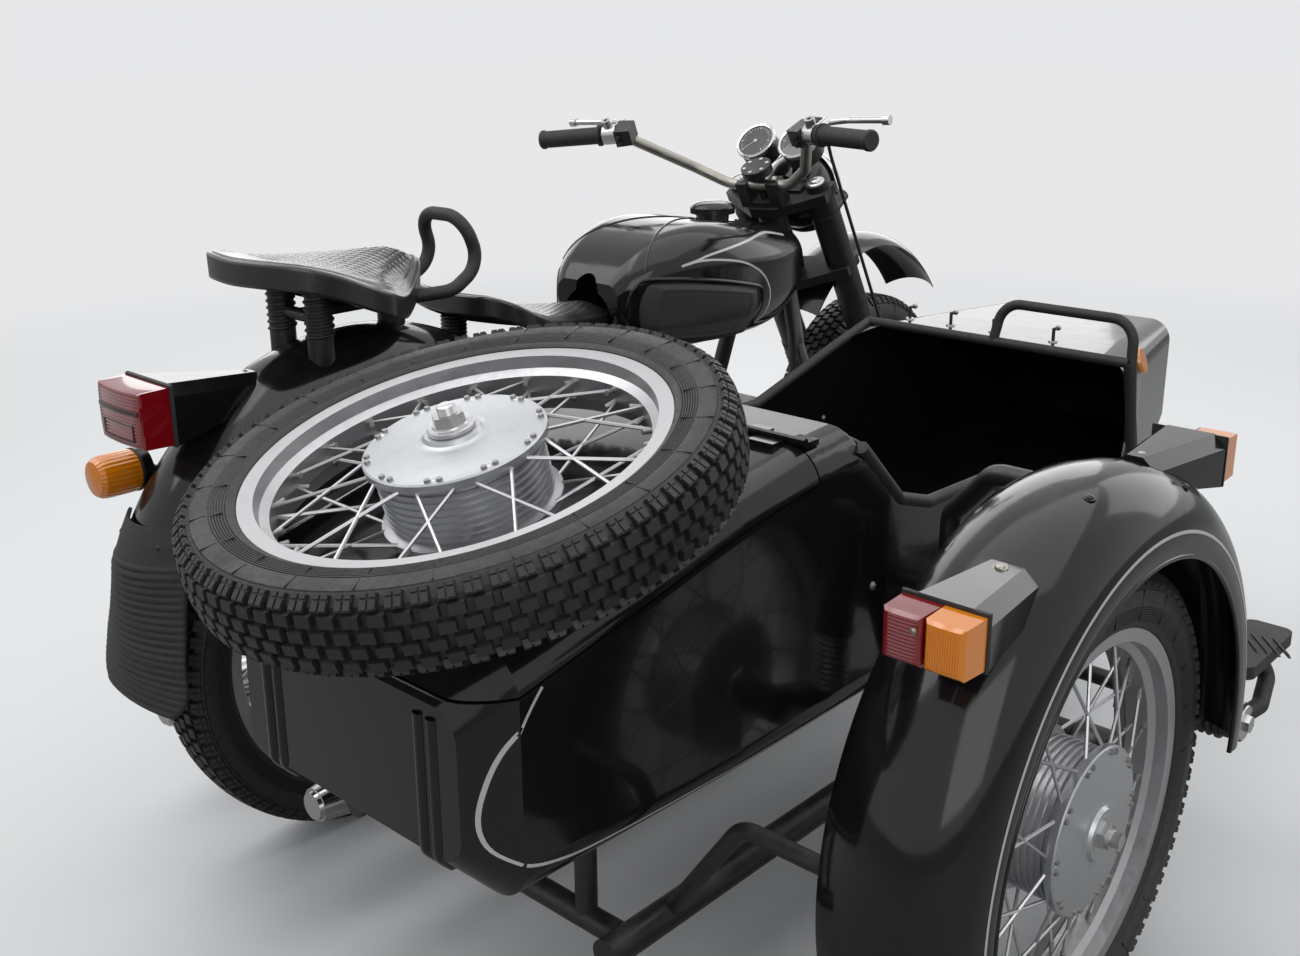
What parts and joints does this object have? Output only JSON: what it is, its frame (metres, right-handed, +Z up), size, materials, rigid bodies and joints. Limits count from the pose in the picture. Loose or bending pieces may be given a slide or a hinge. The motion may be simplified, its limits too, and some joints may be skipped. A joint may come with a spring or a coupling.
{
  "type": "sidecar motorcycle",
  "caption": "Flat-twin motorcycle with a passenger sidecar on its right, wire wheels, rubber saddles and a spare wheel carried on the boot lid.",
  "frame": {"origin": "middle of the outfit's footprint, on the floor", "axes": "+X forward, +Y to the rider's left, +Z up"},
  "size_m": [2.383, 1.6105, 1.1199],
  "materials": {
    "gloss_black": "gloss",
    "frame_black": "satin",
    "wheel_alloy": "satin",
    "tyre_rubber": "matte",
    "aged_steel": "worn",
    "alloy": "satin",
    "engine_alloy": "cast",
    "exhaust_chrome": "polished",
    "black_rubber": "matte",
    "saddle_rubber": "satin",
    "seat_vinyl": "satin",
    "black_plastic": "satin",
    "red_lens": "gloss",
    "amber_lens": "gloss",
    "clear_glass": "clear"
  },
  "bodies": {
    "chassis": {"step_bellows": "black_rubber", "frame": "frame_black", "engine": "engine_alloy", "cylinders": "engine_alloy", "intake": "engine_alloy", "exhausts": "exhaust_chrome", "swing_arm": "frame_black", "shock_absorbers": "frame_black", "tank": "gloss_black", "filler_cap": "black_plastic", "knee_pads": "black_rubber", "driver_saddle": "saddle_rubber", "pillion_saddle": "saddle_rubber", "saddle_mounts": "frame_black", "rear_fender": "gloss_black", "grab_hoop": "black_rubber", "mudflap": "black_rubber", "foot_controls": "aged_steel", "lamp_housings": "black_plastic", "red_lenses": "red_lens", "amber_lenses": "amber_lens", "sidecar_body": "gloss_black", "cockpit_rim": "black_rubber", "sidecar_seats": "seat_vinyl", "sidecar_frame": "frame_black", "sidecar_struts": "frame_black", "sidecar_swing_arm": "frame_black", "sidecar_fender": "gloss_black", "side_step": "black_rubber"},
    "steering": {"fork": "frame_black", "brake_cable": "black_rubber", "handlebar": "aged_steel", "grips": "black_rubber", "headlamp": "gloss_black", "headlamp_lens": "clear_glass", "levers": "alloy", "gauges": "black_plastic", "front_fender": "gloss_black"},
    "front_wheel_body": {"front_wheel": "wheel_alloy", "front_tyre": "tyre_rubber"},
    "rear_wheel_body": {"rear_wheel": "wheel_alloy", "rear_tyre": "tyre_rubber"},
    "sidecar_wheel_body": {"sidecar_wheel": "wheel_alloy", "sidecar_tyre": "tyre_rubber"},
    "boot_lid": {"trunk_lid": "gloss_black", "spare_wheel": "wheel_alloy", "spare_tyre": "tyre_rubber"},
    "stand": {"centre_stand": "frame_black"}
  },
  "joints": [
    {"name": "steering", "type": "hinge", "parent": "chassis", "child": "steering", "pos_m": [0.47467, 0.425, 0.9199], "axis": [-0.4848, 0, 0.8746], "range_deg": [-37.3, 26.7]},
    {"name": "front_wheel_spin", "type": "hinge", "parent": "steering", "child": "front_wheel_body", "pos_m": [0.85981, 0.4298, 0.33189], "axis": [-0.0808, 0.9957, -0.0448], "continuous": true},
    {"name": "rear_wheel_spin", "type": "hinge", "parent": "chassis", "child": "rear_wheel_body", "pos_m": [-0.62, 0.425, 0.332], "axis": [0, 1, 0], "continuous": true},
    {"name": "sidecar_wheel_spin", "type": "hinge", "parent": "chassis", "child": "sidecar_wheel_body", "pos_m": [-0.386, -0.715, 0.332], "axis": [0, 1, 0], "continuous": true},
    {"name": "boot_lid_hinge", "type": "hinge", "parent": "chassis", "child": "boot_lid", "pos_m": [-0.5065, -0.16, 0.785], "axis": [0, 1, 0], "range_deg": [0, 60]},
    {"name": "centre_stand_fold", "type": "hinge", "parent": "chassis", "child": "stand", "pos_m": [-0.2, 0.425, 0.15], "axis": [0, -1, 0], "range_deg": [0, 90], "stiffness_Nm_per_rad": 2.5, "springref_deg": -45.84}
  ]
}
